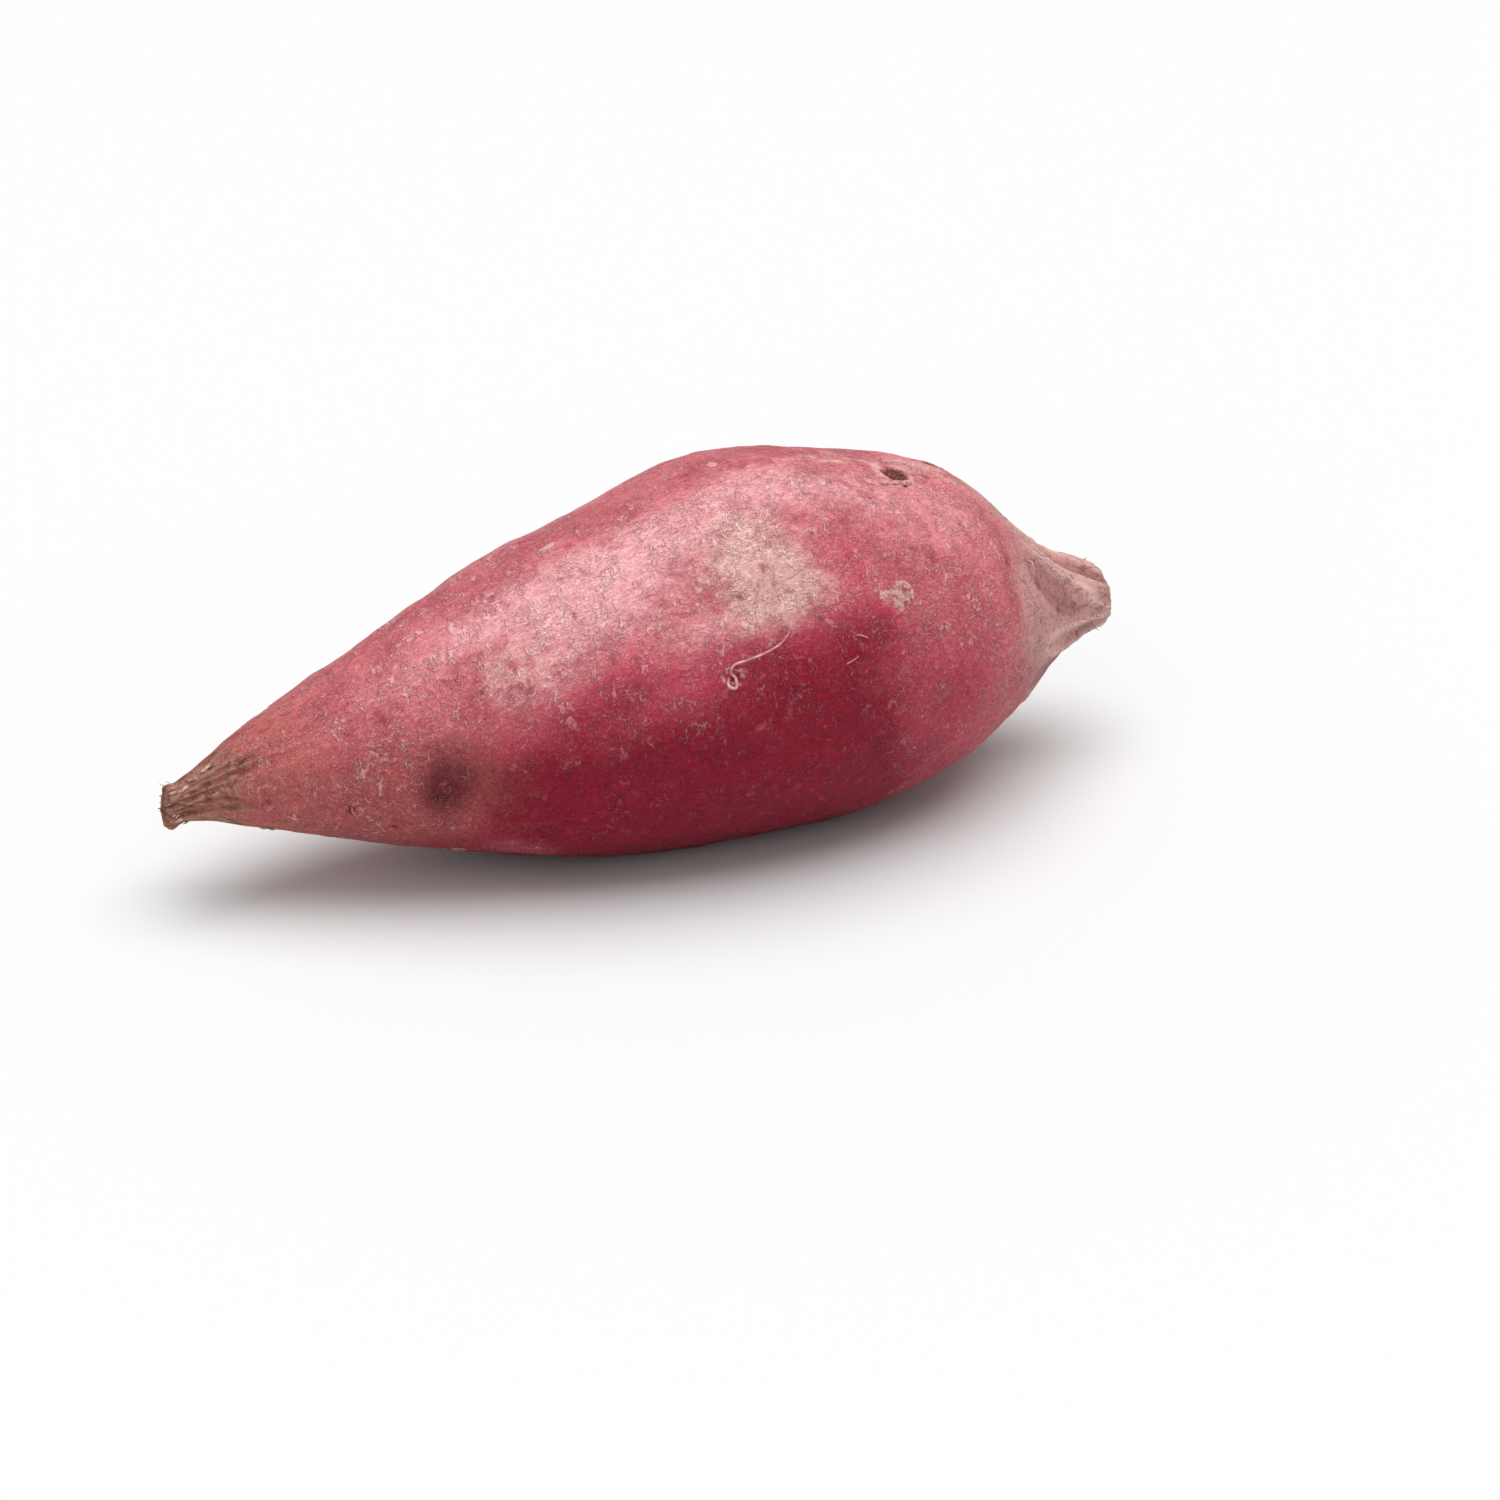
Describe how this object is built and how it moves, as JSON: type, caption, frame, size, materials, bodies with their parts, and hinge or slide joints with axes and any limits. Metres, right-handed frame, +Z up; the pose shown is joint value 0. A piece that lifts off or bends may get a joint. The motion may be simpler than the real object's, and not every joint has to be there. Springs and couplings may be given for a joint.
{
  "type": "sweet potato",
  "caption": "Whole red-skinned sweet potato: a plump, slightly bent spindle with a torn fibrous stub, a short tail and a small flat spot it rests on.",
  "frame": {"origin": "on the ground under the middle of the root", "axes": "+X along the root from the torn stub to the tail, +Z up, resting on the flat spot"},
  "size_m": [0.186, 0.071, 0.0669],
  "materials": {
    "skin": "matte"
  },
  "bodies": {
    "root": {"sweet_potato": "skin"}
  },
  "joints": []
}
